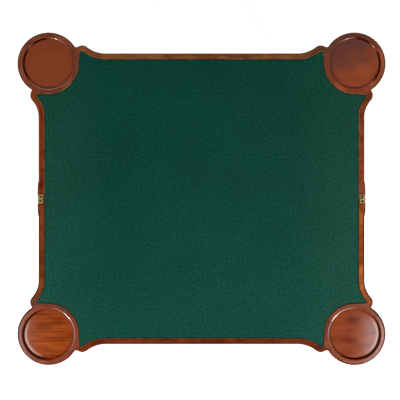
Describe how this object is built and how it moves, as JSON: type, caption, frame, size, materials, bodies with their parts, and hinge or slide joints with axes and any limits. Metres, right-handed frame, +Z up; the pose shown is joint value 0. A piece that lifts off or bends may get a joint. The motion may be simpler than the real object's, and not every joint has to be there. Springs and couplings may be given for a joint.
{
  "type": "fold-over card table",
  "caption": "Fold-over card table, shown open: baize-lined top with dished round turret corners, on cabriole legs, the rear pair drawn out on a concertina frame.",
  "frame": {"origin": "centre of the open table's footprint, on the floor, under the middle of the fold line", "axes": "+X along the fold line, +Y from the fixed leaf towards the folding leaf and the rear legs, +Z up"},
  "size_m": [0.914, 0.826, 0.7082],
  "materials": {
    "mahogany": "old wax polish, satin, red-brown with darker grain",
    "secondary_oak": "plain unpolished oak of the hidden frame",
    "green_baize": "felted wool cloth, matte, deep green",
    "aged_brass": "old brass, dulled, with brighter wear",
    "dark_iron": "darkened iron screws and pins"
  },
  "bodies": {
    "fixed_frame": {"fixed_leaf": "mahogany", "fixed_baize": "green_baize", "front_rail": "mahogany", "left_side_rail": "mahogany", "right_side_rail": "mahogany", "inner_back_rail": "secondary_oak", "front_left_leg": "mahogany", "front_right_leg": "mahogany", "left_turret_block": "mahogany", "right_turret_block": "mahogany", "left_side_glue_block": "secondary_oak", "right_side_glue_block": "secondary_oak", "front_left_glue_block": "secondary_oak", "front_right_glue_block": "secondary_oak", "left_fixed_hinge_plate": "aged_brass", "left_fixed_top_screw": "dark_iron", "left_fixed_side_screw": "dark_iron", "left_top_hinge_pin": "dark_iron", "right_fixed_hinge_plate": "aged_brass", "right_fixed_top_screw": "dark_iron", "right_fixed_side_screw": "dark_iron", "right_top_hinge_pin": "dark_iron", "left_front_hinge_front_leaf": "aged_brass", "left_front_hinge_pin": "dark_iron", "right_front_hinge_front_leaf": "aged_brass", "right_front_hinge_pin": "dark_iron"},
    "fold_top": {"fold_leaf": "mahogany", "fold_baize": "green_baize", "left_fold_hinge_plate": "aged_brass", "left_fold_top_screw": "dark_iron", "left_fold_side_screw": "dark_iron", "right_fold_hinge_plate": "aged_brass", "right_fold_top_screw": "dark_iron", "right_fold_side_screw": "dark_iron"},
    "left_flap_front": {"left_front_flap": "mahogany", "left_front_hinge_rear_leaf": "aged_brass", "left_middle_hinge_front_leaf": "aged_brass", "left_middle_hinge_pin": "dark_iron"},
    "left_flap_rear": {"left_rear_flap": "mahogany", "left_middle_hinge_rear_leaf": "aged_brass", "left_rear_hinge_front_leaf": "aged_brass", "left_rear_hinge_pin": "dark_iron"},
    "right_flap_front": {"right_front_flap": "mahogany", "right_front_hinge_rear_leaf": "aged_brass", "right_middle_hinge_front_leaf": "aged_brass", "right_middle_hinge_pin": "dark_iron"},
    "right_flap_rear": {"right_rear_flap": "mahogany", "right_middle_hinge_rear_leaf": "aged_brass", "right_rear_hinge_front_leaf": "aged_brass", "right_rear_hinge_pin": "dark_iron"},
    "rear_frame": {"back_rail": "mahogany", "rear_left_leg": "mahogany", "rear_right_leg": "mahogany", "rear_left_corner_block": "secondary_oak", "rear_right_corner_block": "secondary_oak", "left_rear_hinge_rear_leaf": "aged_brass", "right_rear_hinge_rear_leaf": "aged_brass"}
  },
  "joints": [
    {"name": "top_fold", "type": "hinge", "parent": "fixed_frame", "child": "fold_top", "pos_m": [0, 0, 0.7062], "axis": [1, 0, 0], "range_deg": [0, 180]},
    {"name": "frame_fold", "type": "hinge", "parent": "fixed_frame", "child": "left_flap_front", "pos_m": [-0.36, -0.112, 0.6427], "axis": [0, 0, -1], "range_deg": [0, 90]},
    {"name": "left_middle_fold", "type": "hinge", "parent": "left_flap_front", "child": "left_flap_rear", "pos_m": [-0.385, 0.08825, 0.6427], "axis": [0, 0, 1], "range_deg": [0, 180]},
    {"name": "left_rear_fold", "type": "hinge", "parent": "left_flap_rear", "child": "rear_frame", "pos_m": [-0.36, 0.2885, 0.6427], "axis": [0, 0, -1], "range_deg": [0, 90]},
    {"name": "right_front_fold", "type": "hinge", "parent": "fixed_frame", "child": "right_flap_front", "pos_m": [0.36, -0.112, 0.6427], "axis": [0, 0, 1], "range_deg": [0, 90]},
    {"name": "right_middle_fold", "type": "hinge", "parent": "right_flap_front", "child": "right_flap_rear", "pos_m": [0.385, 0.08825, 0.6427], "axis": [0, 0, -1], "range_deg": [0, 180]}
  ],
  "couplings": [
    {"joint": "left_middle_fold", "follows": "frame_fold", "ratio": 2},
    {"joint": "left_rear_fold", "follows": "frame_fold", "ratio": 1},
    {"joint": "right_front_fold", "follows": "frame_fold", "ratio": 1},
    {"joint": "right_middle_fold", "follows": "frame_fold", "ratio": 2}
  ]
}
